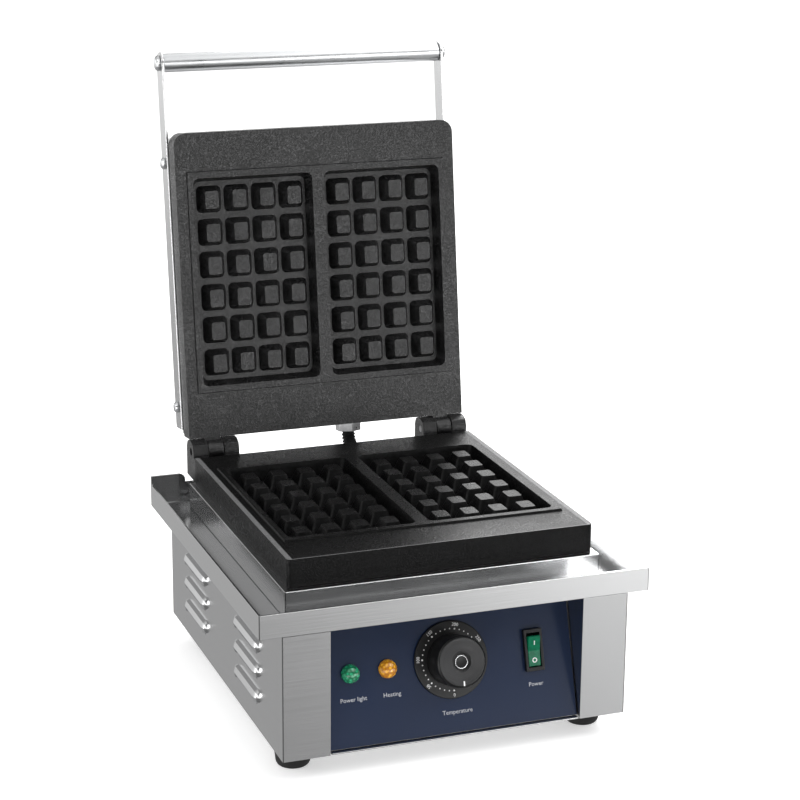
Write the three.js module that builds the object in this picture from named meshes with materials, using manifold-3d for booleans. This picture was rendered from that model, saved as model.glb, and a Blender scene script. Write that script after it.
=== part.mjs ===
// Counter-top waffle maker with one double plate, lid standing open.
// Millimetres, +Z up, -Y is the front. The origin is on the ground, below the middle of the
// whole object as it stands with its lid open.
import * as THREE from 'three';
import { mergeVertices } from 'three/addons/utils/BufferGeometryUtils.js';
import Module from 'manifold-3d';

const wasm = await Module();
wasm.setup();

// Clearances
const GAP = 0.3;
const RUNNING = 0.3;

// The base's own frame: z is measured up from the body's bottom edge, y from the tray's middle.
// The open lid reaches further back than the tray, so the tray sits forward of the origin.
const FOOT_HEIGHT = 18;
const TRAY_MIDDLE_Y = -29.7;
const BODY_X = 133.25;
const BODY_Y = 152.5;
const BODY_HEIGHT = 95.3;
const SHEET = 1.5;
const COLUMN_X = 97.5;
const COLUMN_RETURN_Y = -112;
const REAR_RETURN_X = 113;
const BOTTOM_PLATE_Z = 0.5;
const RAIL = { depth: 5.5, thickness: 1.2 };

// Side louvres
const LOUVRE_Z = [26, 46, 65.5];
const LOUVRE_Y = [-66.5, 75];
const LOUVRE_LENGTH = 60;
const LOUVRE_RADIUS = 6;
const LOUVRE_DEPTH = 4.4;
const LOUVRE_SUNK = 0.4;

// Feet
const FOOT_RADIUS = 14.5;
const FOOT_TIP_RADIUS = 12.5;
const FRONT_FOOT = { x: 115, y: -118 };
const REAR_FOOT = { x: 108, y: 118 };

// Tilted control panel: its own frame starts at its bottom edge, local -y points at the user
const PANEL_Y = -149.3;
const PANEL_TILT = THREE.MathUtils.degToRad(17.2);
const PANEL_X = COLUMN_X - 0.8;
const PANEL_BOTTOM = 2.1;
const PANEL_TOP = 96;
const LAMP_Z = 55;
const LAMPS = { power: -76.5, heating: -48 };
const LAMP_RADIUS = 7;
const LAMP_STEM_RADIUS = 5;
const DIAL = { x: 1, z: 55.5 };
const DIAL_RADIUS = 28.5;
const DIAL_THICKNESS = 2;
const KNOB_RADIUS = 19;
const KNOB_HEIGHT = 22.4;
const KNOB_RECESS_RADIUS = 7;
const SPINDLE_RADIUS = 3;
const SPINDLE_BEHIND = 12;
const SPINDLE_IN_KNOB = 15;
const SWITCH = { x: 66, z: 54.5 };
const BEZEL = { width: 14.5, height: 31, front: -4 };
const SWITCH_BODY = { width: 12, height: 28, back: 18 };
const ROCKER_WIDTH = 9.5;
const ROCKER_CAVITY = { width: 10.3, height: 25.2, back: 7 };
const ROCKER_PIVOT_Y = 0.5;
const ROCKER_TILT = THREE.MathUtils.degToRad(10);

// Drip tray
const TRAY_X = 150;
const TRAY_Z = 95.6;
const RIM_Z = 113.5;
const REAR_RIM_Z = 120.7;
const REAR_RIM_X = 121.3;
const REAR_RIM_ROUND = 5;
const TRAY_OPENING = { x: 108, front: -110, rear: 120 };

// Raised box that carries the lower plate
const BOX_X = 122.3;
const BOX_FRONT = -124.6;
const BOX_REAR = 134.4;
const BOX_Z = 117.6;

// Waffle plates: both use the same cavities, seen from the side of the land
const PLATE_X = 118.65;
const LOWER_PLATE_ROUND = 3;
const UPPER_PLATE_ROUND = 10;
const LOWER_PLATE = { front: -119, rear: 129, bottom: BOX_Z + GAP, top: 139.6 };
const LAND_RAISE = 1.5;
const LAND_X = 110.2;
const CAVITY = { width: 100, length: 168, depth: 12, draft: 3.2 };
const CAVITY_MID_Y = 6;
const CENTRE_LAND = 10;
const LAND_MARGIN = 6;
const STUD = { columns: 4, rows: 6, pitchX: 23, pitchY: 26.5, height: 10.5 };
const STUD_BASE = { width: 21.5, length: 22.3, round: 4 };
const STUD_TOP = { width: 11.2, length: 14.2, round: 1.8 };
const CAVITY_ROUND = 5;
const CORNER_STEPS = 3;
const UNDERSIDE_WALL = 9;
const UNDERSIDE_SKIN = 5;

// Hinge: the lid's frame has its origin on the hinge line, local z runs up the open lid
const HINGE_Y = 142;
const HINGE_Z = 141.3;
const LID_LEAN = THREE.MathUtils.degToRad(7.8);
const PIN_RADIUS = 3;
const PIN_RECESS = 3;
const BARREL_RADIUS = 7.5;
const OUTER_LUG = { from: 106, to: 118.5 };
const LID_KNUCKLE = { from: 92.8, to: 105.2 };
const INNER_LUG = { from: 80, to: 92 };
const LUG_REAR = 155;
const LUG_TOP = 150;
const BRACKET_FOOT_Z = 131;

// Lid
const LID_FACE = 1.7;
const LID_PLATE_BACK = 18.7;
const LID_BOTTOM = 10;
const LID_TOP = 256.3;
const LID_RIB = { x: 116.5, back: 30, top: 21 };
const COVER = { x: 115, back: 45, bottom: 21.4, top: 253, inset: 4 };
const COVER_SHEET = 1.2;
const COVER_SCREW = { y: 22.6, z: [62, 208], radius: 2.4 };
const GLAND = { x: 24.3, y: 24, top: 9.7, bottom: 1, radius: 10.8 };

// Handle
const ARM = { inner: 118.1, outer: 120.1, y: 28.7, bottom: 15, halfWidth: 8.7 };
const TUBE_Z = 312;
const TUBE_RADIUS = 7.5;
const ARM_SCREW_Z = [33, 232];

// Flexible conduit from the tray to the lid
const CONDUIT_RADIUS = 5.8;
const TRAY_GLAND = { y: 143, radius: 7.6, top: 104 };

const material = (color, roughness, metalness) => (
  new THREE.MeshStandardMaterial({ color, roughness, metalness }));
const STEEL = material(0xa9abad, 0.34, 1.0);
const BRIGHT = material(0xd6d8da, 0.16, 1.0);
const IRON = material(0x2b2b2c, 0.62, 0.35);
const NAVY = material(0x2c3650, 0.45, 0.0);
const BLACK = material(0x141415, 0.42, 0.0);
const RUBBER = material(0x101010, 0.85, 0.0);
const GREEN = material(0x0c7a4c, 0.18, 0.0);
const AMBER = material(0xd98218, 0.18, 0.0);
const WHITE = material(0xeeeeea, 0.5, 0.0);
const GREY = material(0x57595c, 0.55, 0.2);
const WOOL = material(0xb9b3a4, 0.95, 0.0);

// --- geometry helpers -------------------------------------------------------

function box(x0, x1, y0, y1, z0, z1) {
  const geometry = new THREE.BoxGeometry(x1 - x0, y1 - y0, z1 - z0);
  return geometry.translate((x0 + x1) / 2, (y0 + y1) / 2, (z0 + z1) / 2);
}

// Cylinder between two x values, around the line (y, z)
function rodX(radius, x0, x1, y, z, sides = 24) {
  const geometry = new THREE.CylinderGeometry(radius, radius, x1 - x0, sides);
  return geometry.rotateZ(Math.PI / 2).translate((x0 + x1) / 2, y, z);
}

// Cylinder between two y values, around the line (x, z)
function rodY(radius, y0, y1, x, z, sides = 24) {
  const geometry = new THREE.CylinderGeometry(radius, radius, y1 - y0, sides);
  return geometry.translate(x, (y0 + y1) / 2, z);
}

// Cylinder between two z values, around the line (x, y)
function rodZ(radius, z0, z1, x, y, sides = 24) {
  const geometry = new THREE.CylinderGeometry(radius, radius, z1 - z0, sides);
  return geometry.rotateX(Math.PI / 2).translate(x, y, (z0 + z1) / 2);
}

// Turned piece around +Z from [radius, z] pairs; a profile off the axis closes on itself
function turned(profile, sides = 24) {
  const points = profile.map(([radius, z]) => new THREE.Vector2(radius, z));
  return new THREE.LatheGeometry(points, sides).rotateX(Math.PI / 2);
}

function ring(outer, inner, z0, z1, sides = 24) {
  return turned([[inner, z0], [outer, z0], [outer, z1], [inner, z1], [inner, z0]], sides);
}

// Prism between two x values from an outline of [y, z] pairs
function prismX(outline, x0, x1) {
  const shape = new THREE.Shape(outline.map(([y, z]) => new THREE.Vector2(y, z)));
  const geometry = new THREE.ExtrudeGeometry(shape, { depth: x1 - x0, bevelEnabled: false });
  return geometry.rotateX(Math.PI / 2).rotateZ(Math.PI / 2).translate(x0, 0, 0);
}

// Prism between two z values from an outline of [x, y] pairs
function prismZ(outline, z0, z1) {
  const shape = new THREE.Shape(outline.map(([x, y]) => new THREE.Vector2(x, y)));
  const geometry = new THREE.ExtrudeGeometry(shape, { depth: z1 - z0, bevelEnabled: false });
  return geometry.translate(0, 0, z0);
}

// Prism between two y values from an outline of [x, z] pairs
function prismY(outline, y0, y1) {
  const shape = new THREE.Shape(outline.map(([x, z]) => new THREE.Vector2(x, z)));
  const geometry = new THREE.ExtrudeGeometry(shape, { depth: y1 - y0, bevelEnabled: false });
  return geometry.rotateX(Math.PI / 2).translate(0, y1, 0);
}

// Box whose upper face is a different size from its lower face, standing on z = 0
function frustum(bottom, top, height) {
  const geometry = new THREE.BoxGeometry(1, 1, height).translate(0, 0, height / 2);
  const position = geometry.attributes.position;
  for (let i = 0; i < position.count; i += 1) {
    const size = position.getZ(i) > height / 2 ? top : bottom;
    position.setX(i, position.getX(i) * size.width);
    position.setY(i, position.getY(i) * size.length);
  }
  return geometry;
}

// Outline of a rectangle with rounded corners, anticlockwise
function roundedCorners({ width, length, round }) {
  const corners = [[1, 1], [-1, 1], [-1, -1], [1, -1]];
  const points = [];
  corners.forEach(([sideX, sideY], quarter) => {
    for (let step = 0; step <= CORNER_STEPS; step += 1) {
      const angle = (quarter + step / CORNER_STEPS) * (Math.PI / 2);
      points.push([
        sideX * (width / 2 - round) + round * Math.cos(angle),
        sideY * (length / 2 - round) + round * Math.sin(angle),
      ]);
    }
  });
  return points;
}

// Frustum with rounded upright edges, standing on z = 0
function roundedFrustum(bottom, top, height) {
  const low = roundedCorners(bottom);
  const high = roundedCorners(top);
  const count = low.length;
  const points = [...low.map(([x, y]) => [x, y, 0]), ...high.map(([x, y]) => [x, y, height])];
  const index = [];
  for (let i = 0; i < count; i += 1) {
    const next = (i + 1) % count;
    index.push(i, next, count + next, i, count + next, count + i);
  }
  for (let i = 1; i < count - 1; i += 1) {
    index.push(0, i + 1, i, count, count + i, count + i + 1);
  }
  const geometry = new THREE.BufferGeometry();
  geometry.setAttribute('position', new THREE.Float32BufferAttribute(points.flat(), 3));
  geometry.setIndex(index);
  return geometry;
}

function solid(geometry) {
  const bare = geometry.clone();
  bare.deleteAttribute('normal');
  bare.deleteAttribute('uv');
  const merged = mergeVertices(bare, 1e-4);
  return new wasm.Manifold(new wasm.Mesh({
    numProp: 3,
    vertProperties: new Float32Array(merged.attributes.position.array),
    triVerts: new Uint32Array(merged.index.array),
  }));
}

function geometryOf(manifold) {
  const mesh = manifold.getMesh();
  const geometry = new THREE.BufferGeometry();
  geometry.setAttribute('position', new THREE.BufferAttribute(mesh.vertProperties, 3));
  geometry.setIndex(new THREE.BufferAttribute(mesh.triVerts, 1));
  geometry.computeVertexNormals();
  return geometry;
}

function joined(...pieces) {
  return geometryOf(pieces.map(solid).reduce((sum, piece) => sum.add(piece)));
}

function cut(body, ...tools) {
  const start = solid(body);
  return geometryOf(tools.map(solid).reduce((rest, tool) => rest.subtract(tool), start));
}

function add(group, name, geometry, look, position = [0, 0, 0]) {
  const mesh = new THREE.Mesh(geometry, look);
  mesh.name = name;
  mesh.position.set(...position);
  group.add(mesh);
  return mesh;
}

const SIDES = [['left', -1], ['right', 1]];

// Box given by its distances from the middle plane, on the left (-1) or the right (+1)
function sideBox(side, inner, outer, y0, y1, z0, z1) {
  return side < 0
    ? box(-outer, -inner, y0, y1, z0, z1)
    : box(inner, outer, y0, y1, z0, z1);
}

function sideRod(side, radius, inner, outer, y, z, sides = 24) {
  return side < 0
    ? rodX(radius, -outer, -inner, y, z, sides)
    : rodX(radius, inner, outer, y, z, sides);
}

// --- body -------------------------------------------------------------------

function louvreCapsule(side, y, z) {
  const straight = LOUVRE_LENGTH - 2 * LOUVRE_RADIUS;
  const capsule = new THREE.CapsuleGeometry(LOUVRE_RADIUS, straight, 2, 8);
  return capsule.scale(LOUVRE_DEPTH / LOUVRE_RADIUS, 1, 1)
    .translate(side * (BODY_X - LOUVRE_SUNK), y, z);
}

// Opening under one hood, as distances [outwards, up] from the middle of the louvre
const LOUVRE_MOUTH = [
  [-3, 3.4], [1.6, 2.6], [2.6, -0.5], [6, -2.2], [6, -7], [-0.3, -7], [-0.3, -3.4], [-3, -3.4],
];

// Pressed hoods: half capsules outside the sheet, each open along its lower edge
function louvres(side) {
  const hoods = [];
  const mouths = [];
  const inside = sideBox(side, BODY_X - 10, BODY_X - SHEET / 2, -BODY_Y, BODY_Y, 0, BODY_HEIGHT);
  const half = LOUVRE_LENGTH / 2 - LOUVRE_RADIUS;
  for (const y of LOUVRE_Y) {
    for (const z of LOUVRE_Z) {
      const outline = LOUVRE_MOUTH.map(([out, up]) => [side * (BODY_X + out), z + up]);
      hoods.push(cut(louvreCapsule(side, y, z), inside));
      mouths.push(prismY(outline, y - half, y + half));
    }
  }
  return { hoods, mouths };
}

// Folded sheet seen from above: return beside the panel, front column, side wall, rear return
function sidePanel(side) {
  const { hoods, mouths } = louvres(side);
  const plan = [
    [COLUMN_X, COLUMN_RETURN_Y], [COLUMN_X, -BODY_Y], [BODY_X, -BODY_Y], [BODY_X, BODY_Y],
    [REAR_RETURN_X, BODY_Y], [REAR_RETURN_X, BODY_Y - SHEET], [BODY_X - SHEET, BODY_Y - SHEET],
    [BODY_X - SHEET, -BODY_Y + SHEET], [COLUMN_X + SHEET, -BODY_Y + SHEET],
    [COLUMN_X + SHEET, COLUMN_RETURN_Y],
  ];
  const sheet = prismZ(plan.map(([x, y]) => [side * x, y]), 0, BODY_HEIGHT);
  return cut(joined(sheet, ...hoods), ...mouths);
}

const INLET = { x: -78, z: 26, radius: 8 };

function backPanel() {
  const half = REAR_RETURN_X - GAP;
  const sheet = box(-half, half, BODY_Y - SHEET, BODY_Y, BOTTOM_PLATE_Z, BODY_HEIGHT);
  const slots = [];
  for (let row = 0; row < 2; row += 1) {
    for (let i = 0; i < 6; i += 1) {
      const x = -30 + i * 22;
      const z = 40 + row * 24;
      slots.push(box(x - 3, x + 3, BODY_Y - 5, BODY_Y + 5, z, z + 18));
    }
  }
  return cut(sheet, ...slots, rodY(INLET.radius, BODY_Y - 5, BODY_Y + 5, INLET.x, INLET.z));
}

function footAt(group, name, { x, y }) {
  const rubber = turned([
    [2.6, -FOOT_HEIGHT + 6], [5, -FOOT_HEIGHT + 6], [5, -FOOT_HEIGHT],
    [FOOT_TIP_RADIUS - 2, -FOOT_HEIGHT], [FOOT_TIP_RADIUS, -FOOT_HEIGHT + 2],
    [FOOT_RADIUS, BOTTOM_PLATE_Z - GAP], [2.6, BOTTOM_PLATE_Z - GAP], [2.6, -FOOT_HEIGHT + 6],
  ], 16);
  const head = -FOOT_HEIGHT + 6 - GAP;
  const screw = turned([
    [0, head - 3], [4, head - 3], [4, head], [2, head], [2, 8], [0, 8],
  ], 10);
  add(group, `foot_${name}`, rubber, RUBBER, [x, y, 0]);
  add(group, `foot_screw_${name}`, screw, STEEL, [x, y, 0]);
}

function footHole({ x, y }) {
  return rodZ(2.6, -5, 10, x, y, 16);
}

function bottomPlate() {
  const half = BODY_X - SHEET - GAP;
  const sheet = box(-half, half, -BODY_Y + 6, BODY_Y - SHEET - GAP,
    BOTTOM_PLATE_Z, BOTTOM_PLATE_Z + SHEET);
  const holes = [];
  const clear = [];
  for (const [, side] of SIDES) {
    holes.push(footHole({ x: side * FRONT_FOOT.x, y: FRONT_FOOT.y }));
    holes.push(footHole({ x: side * REAR_FOOT.x, y: REAR_FOOT.y }));
    clear.push(sideBox(side, COLUMN_X - GAP, COLUMN_X + SHEET + GAP, -BODY_Y,
      COLUMN_RETURN_Y + GAP, -5, 10));
  }
  return cut(sheet, ...holes, ...clear);
}

// Angle strip under the control panel, its lip flush with the columns
function frontRail() {
  return box(-PANEL_X, PANEL_X, -BODY_Y, -BODY_Y + RAIL.depth, 0, RAIL.thickness);
}

function body(group) {
  for (const [name, side] of SIDES) {
    add(group, `${name}_side_panel`, sidePanel(side), STEEL);
  }
  add(group, 'back_panel', backPanel(), STEEL);
  add(group, 'bottom_plate', bottomPlate(), STEEL);
  add(group, 'front_rail', frontRail(), STEEL);
  const inlet = turned([
    [4, -12], [INLET.radius - GAP, -12], [INLET.radius - GAP, 0], [INLET.radius + 2.5, 0],
    [INLET.radius + 2.5, 3], [INLET.radius + 1, 4], [4, 4], [4, -12],
  ], 20).rotateX(-Math.PI / 2);
  add(group, 'cord_inlet', inlet, BLACK, [INLET.x, BODY_Y + GAP, INLET.z]);
  add(group, 'terminal_block', box(-98, -58, 96, 116, BOTTOM_PLATE_Z + SHEET + GAP, 20), WHITE);
  for (const [name, side] of SIDES) {
    footAt(group, `front_${name}`, { x: side * FRONT_FOOT.x, y: FRONT_FOOT.y });
    footAt(group, `rear_${name}`, { x: side * REAR_FOOT.x, y: REAR_FOOT.y });
  }
}

// --- control panel ----------------------------------------------------------

function controlPlate() {
  const sheet = box(-PANEL_X, PANEL_X, 0, SHEET, PANEL_BOTTOM, PANEL_TOP);
  const holes = Object.values(LAMPS).map((x) => (
    rodY(LAMP_STEM_RADIUS + GAP, -5, 5, x, LAMP_Z)));
  holes.push(rodY(SPINDLE_RADIUS + 1, -5, 5, DIAL.x, DIAL.z));
  const halfWidth = SWITCH_BODY.width / 2 + GAP;
  const halfHeight = SWITCH_BODY.height / 2 + GAP;
  holes.push(box(SWITCH.x - halfWidth, SWITCH.x + halfWidth, -5, 5,
    SWITCH.z - halfHeight, SWITCH.z + halfHeight));
  return cut(sheet, ...holes);
}

// Turned along the panel's outward normal: profile z grows towards the user
function facing(geometry) {
  return geometry.rotateX(Math.PI / 2);
}

function lamp(group, name, x, look) {
  const lens = facing(turned([
    [0, GAP], [LAMP_RADIUS, GAP], [LAMP_RADIUS, 1.6], [LAMP_RADIUS * 0.92, 3.6],
    [LAMP_RADIUS * 0.7, 5.3], [LAMP_RADIUS * 0.36, 6.3], [0, 6.6],
  ], 20));
  const stem = facing(turned([
    [0, -22], [4, -22], [4, -15], [LAMP_STEM_RADIUS, -15], [LAMP_STEM_RADIUS, 0], [0, 0],
  ], 20));
  add(group, `${name}_lamp_lens`, lens, look, [x, 0, LAMP_Z]);
  add(group, `${name}_lamp_body`, stem, WHITE, [x, 0, LAMP_Z]);
}

function knob() {
  const base = DIAL_THICKNESS + 2 * GAP;
  const top = base + KNOB_HEIGHT;
  const bore = SPINDLE_RADIUS + GAP;
  const body = facing(turned([
    [bore, base], [KNOB_RADIUS - 1.5, base], [KNOB_RADIUS - 0.4, base + 3],
    [KNOB_RADIUS, top - 2.2], [KNOB_RADIUS - 1, top], [KNOB_RECESS_RADIUS, top],
    [KNOB_RECESS_RADIUS - 1, top - 1.6], [0, top - 1.6], [0, base + SPINDLE_IN_KNOB + GAP],
    [bore, base + SPINDLE_IN_KNOB + GAP], [bore, base],
  ], 36));
  return cut(body, box(-0.9, 0.9, -top - 1, -top + 1, -KNOB_RADIUS + 1.4, -KNOB_RADIUS + 7.4));
}

function knobPointer() {
  const top = DIAL_THICKNESS + 2 * GAP + KNOB_HEIGHT;
  return box(-0.6, 0.6, -top - 0.2, -top + 0.7, -KNOB_RADIUS + 1.8, -KNOB_RADIUS + 7);
}

function switchHousing() {
  const { width, height, front } = BEZEL;
  const bezel = box(-width / 2, width / 2, front, -GAP, -height / 2, height / 2);
  const housing = box(-SWITCH_BODY.width / 2, SWITCH_BODY.width / 2, -1, SWITCH_BODY.back,
    -SWITCH_BODY.height / 2, SWITCH_BODY.height / 2);
  const cavity = box(-ROCKER_CAVITY.width / 2, ROCKER_CAVITY.width / 2, front - 1,
    ROCKER_CAVITY.back, -ROCKER_CAVITY.height / 2, ROCKER_CAVITY.height / 2);
  return cut(joined(bezel, housing), cavity);
}

// Shallow V seen from the side, pivoted in the housing, its lower half pressed in
function rocker() {
  const outline = [
    [-5.4, -11.3], [-4.1, -0.8], [-4.1, 0.8], [-5.4, 11.3], [-3.6, 11.6], [3, 8.6], [4.6, 0],
    [3, -8.6], [-3.6, -11.6],
  ];
  return prismX(outline, -ROCKER_WIDTH / 2, ROCKER_WIDTH / 2);
}

function controls(group) {
  add(group, 'control_panel', controlPlate(), NAVY);
  lamp(group, 'power', LAMPS.power, GREEN);
  lamp(group, 'heating', LAMPS.heating, AMBER);
  const dial = facing(ring(DIAL_RADIUS, SPINDLE_RADIUS + 1, GAP, GAP + DIAL_THICKNESS, 40));
  add(group, 'dial_scale_ring', dial, BLACK, [DIAL.x, 0, DIAL.z]);
  const housing = facing(turned([
    [0, -32], [20, -32], [22, -30], [22, -SHEET - GAP], [SPINDLE_RADIUS + RUNNING, -SHEET - GAP],
    [SPINDLE_RADIUS + RUNNING, -SPINDLE_BEHIND - 2], [0, -SPINDLE_BEHIND - 2],
  ]));
  add(group, 'thermostat_body', housing, GREY, [DIAL.x, 0, DIAL.z]);
  const tip = DIAL_THICKNESS + 2 * GAP + SPINDLE_IN_KNOB;
  const spindle = rodY(SPINDLE_RADIUS, -tip, SPINDLE_BEHIND, 0, 0);
  add(group, 'thermostat_spindle', spindle, STEEL, [DIAL.x, 0, DIAL.z]);
  add(group, 'thermostat_knob', knob(), BLACK, [DIAL.x, 0, DIAL.z]);
  add(group, 'knob_pointer', knobPointer(), WHITE, [DIAL.x, 0, DIAL.z]);
  add(group, 'switch_housing', switchHousing(), BLACK, [SWITCH.x, 0, SWITCH.z]);
  const power = add(group, 'power_rocker', rocker(), GREEN, [SWITCH.x, ROCKER_PIVOT_Y, SWITCH.z]);
  power.rotation.x = ROCKER_TILT;
}

// --- drip tray and lower plate ----------------------------------------------

// Pan with a low rim; at the left rear corner the wall stands higher, with a rounded end
function dripTray() {
  const shell = box(-TRAY_X, TRAY_X, -BODY_Y, BODY_Y, TRAY_Z, REAR_RIM_Z);
  const inside = box(-TRAY_X + SHEET, TRAY_X - SHEET, -BODY_Y + SHEET, BODY_Y - SHEET,
    TRAY_Z + SHEET, REAR_RIM_Z + 1);
  const outX = TRAY_X + 1;
  const outY = BODY_Y + 1;
  const wallY = BODY_Y - SHEET - 0.5;
  const overRim = prismZ([
    [-outX, -outY], [outX, -outY], [outX, outY], [-REAR_RIM_X, outY],
    [-REAR_RIM_X, wallY], [-outX, wallY],
  ], RIM_Z, REAR_RIM_Z + 1);
  const opening = box(-TRAY_OPENING.x, TRAY_OPENING.x, TRAY_OPENING.front, TRAY_OPENING.rear,
    TRAY_Z - 1, TRAY_Z + 5);
  const glandHole = rodZ(5, TRAY_Z - 1, TRAY_Z + 5, GLAND.x, TRAY_GLAND.y);
  const roundX = -REAR_RIM_X - REAR_RIM_ROUND;
  const roundZ = REAR_RIM_Z - REAR_RIM_ROUND;
  const rounder = cut(
    box(roundX, -REAR_RIM_X + 1, BODY_Y - 5, outY, roundZ, REAR_RIM_Z + 1),
    rodY(REAR_RIM_ROUND, BODY_Y - 6, outY + 1, roundX, roundZ));
  return cut(shell, inside, overRim, opening, glandHole, rounder);
}

function plateBox() {
  const outer = box(-BOX_X, BOX_X, BOX_FRONT, BOX_REAR, TRAY_Z + SHEET + GAP, BOX_Z);
  const inner = box(-BOX_X + SHEET, BOX_X - SHEET, BOX_FRONT + SHEET, BOX_REAR - SHEET,
    TRAY_Z, BOX_Z - SHEET);
  const opening = box(-TRAY_OPENING.x, TRAY_OPENING.x, TRAY_OPENING.front, TRAY_OPENING.rear,
    BOX_Z - 5, BOX_Z + 1);
  return cut(outer, inner, opening);
}

// Land and cavities of one plate, standing on z = 0 at the plate's outer surface
function waffleCuts() {
  const { width, length, depth, draft } = CAVITY;
  const round = CAVITY_ROUND;
  const floor = { width: width - 2 * draft, length: length - 2 * draft, round };
  const mouth = { width: width + 0.4, length: length + 0.4, round };
  return SIDES.map(([, side]) => (
    roundedFrustum(floor, mouth, depth + 1)
      .translate(side * (width + CENTRE_LAND) / 2, CAVITY_MID_Y, LAND_RAISE - depth)));
}

function waffleStuds() {
  const studs = [];
  const sunk = 1;
  for (const [, side] of SIDES) {
    for (let column = 0; column < STUD.columns; column += 1) {
      for (let row = 0; row < STUD.rows; row += 1) {
        const x = side * (CAVITY.width + CENTRE_LAND) / 2
          + (column - (STUD.columns - 1) / 2) * STUD.pitchX;
        const y = CAVITY_MID_Y + (row - (STUD.rows - 1) / 2) * STUD.pitchY;
        studs.push(roundedFrustum(STUD_BASE, STUD_TOP, STUD.height + sunk)
          .translate(x, y, LAND_RAISE - CAVITY.depth - sunk));
      }
    }
  }
  return studs;
}

// Slab with two rounded corners at -y, its outer surface at z = 0 and the slab below it
function wafflePlate(front, rear, thickness, round) {
  const shape = new THREE.Shape();
  shape.moveTo(-PLATE_X, rear);
  shape.lineTo(-PLATE_X, front + round);
  shape.absarc(-PLATE_X + round, front + round, round, Math.PI, 1.5 * Math.PI, false);
  shape.absarc(PLATE_X - round, front + round, round, 1.5 * Math.PI, 2 * Math.PI, false);
  shape.lineTo(PLATE_X, rear);
  const slab = new THREE.ExtrudeGeometry(shape, {
    depth: thickness, bevelEnabled: false, curveSegments: 6,
  }).translate(0, 0, -thickness);
  const half = CAVITY.length / 2 + LAND_MARGIN;
  const land = frustum(
    { width: 2 * LAND_X, length: 2 * half },
    { width: 2 * LAND_X - 2, length: 2 * half - 2 },
    LAND_RAISE + 1,
  ).translate(0, CAVITY_MID_Y, -1);
  const floor = LAND_RAISE - CAVITY.depth - UNDERSIDE_SKIN;
  const underside = box(-PLATE_X + UNDERSIDE_WALL, PLATE_X - UNDERSIDE_WALL,
    front + UNDERSIDE_WALL + round, rear - UNDERSIDE_WALL, -thickness - 1, floor);
  return joined(cut(joined(slab, land), ...waffleCuts(), underside), ...waffleStuds());
}

// Round-topped lug behind the lower plate, with the hole for the hinge pin
function hingeLug(side, { from, to }) {
  const front = LOWER_PLATE.rear + GAP;
  const bottom = LOWER_PLATE.bottom + 1;
  const outline = [
    [front, bottom], [LUG_REAR, bottom], [LUG_REAR, LUG_TOP - 7],
    [LUG_REAR - 2.2, LUG_TOP - 2.2], [LUG_REAR - 7, LUG_TOP], [HINGE_Y - 1, LUG_TOP],
    [HINGE_Y - 6, LUG_TOP - 2.2], [HINGE_Y - 8, LUG_TOP - 7], [HINGE_Y - 8, LOWER_PLATE.top - 1],
    [front, LOWER_PLATE.top - 1],
  ];
  return side < 0 ? prismX(outline, -to, -from) : prismX(outline, from, to);
}

// Cast bracket on the plate's rear edge: two lugs joined by a foot below the lid's knuckle
function hingeBracket(side) {
  const inset = 0.5;
  const foot = sideBox(side, INNER_LUG.from + inset, OUTER_LUG.to - inset,
    LOWER_PLATE.rear + GAP + inset, LUG_REAR - inset,
    LOWER_PLATE.bottom + 1 + inset, BRACKET_FOOT_Z);
  const bore = sideRod(side, PIN_RADIUS + RUNNING, INNER_LUG.from - 1, OUTER_LUG.to + 1,
    HINGE_Y, HINGE_Z, 20);
  return cut(joined(hingeLug(side, OUTER_LUG), hingeLug(side, INNER_LUG), foot), bore);
}

function lowerPlate() {
  const { front, rear, bottom, top } = LOWER_PLATE;
  return wafflePlate(front, rear, top - bottom, LOWER_PLATE_ROUND).translate(0, 0, top);
}

// Heating rod bent into a flat serpentine of four legs
function heatingRod(front, rear, z) {
  const legs = [-84, -28, 28, 84];
  const points = [];
  legs.forEach((x, i) => {
    const ends = i % 2 === 0 ? [rear, front] : [front, rear];
    points.push(new THREE.Vector3(x, ends[0], z));
    points.push(new THREE.Vector3(x, (ends[0] + ends[1]) / 2, z));
    points.push(new THREE.Vector3(x, ends[1], z));
  });
  const circle = new THREE.Shape();
  circle.absarc(0, 0, 3.6, 0, 2 * Math.PI, false);
  return new THREE.ExtrudeGeometry(circle, {
    steps: 36, curveSegments: 4, extrudePath: new THREE.CatmullRomCurve3(points, false, 'centripetal'),
  });
}

function trayAndPlate(group) {
  add(group, 'drip_tray', dripTray(), STEEL);
  add(group, 'plate_box', plateBox(), STEEL);
  add(group, 'lower_plate', lowerPlate(), IRON);
  add(group, 'lower_heating_rod', heatingRod(-86, 96, BOX_Z - 5), GREY);
  const wool = box(-106, 106, -106, 116, TRAY_Z + SHEET + GAP, BOX_Z - 10);
  add(group, 'lower_insulation', wool, WOOL);
  for (const [name, side] of SIDES) {
    const pin = sideRod(side, PIN_RADIUS, INNER_LUG.from, OUTER_LUG.to - PIN_RECESS,
      HINGE_Y, HINGE_Z, 20);
    add(group, `hinge_bracket_${name}`, hingeBracket(side), IRON);
    add(group, `hinge_pin_${name}`, pin, STEEL);
  }
  const { radius, top } = TRAY_GLAND;
  const floor = TRAY_Z + SHEET + GAP;
  const gland = hexGland(radius, 5 - GAP, [floor, top], [TRAY_Z - 8, floor + 1]);
  add(group, 'conduit_tray_gland', gland, BRIGHT, [GLAND.x, TRAY_GLAND.y, 0]);
}

// Hexagonal nut and its threaded neck around one bore, each given by its z range
function hexGland(nutRadius, neckRadius, nut, neck) {
  const outside = joined(rodZ(nutRadius, nut[0], nut[1], 0, 0, 6),
    rodZ(neckRadius, neck[0], neck[1], 0, 0, 16));
  return cut(outside, rodZ(CONDUIT_RADIUS - 2, Math.min(nut[0], neck[0]) - 1,
    Math.max(nut[1], neck[1]) + 1, 0, 0, 16));
}

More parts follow.
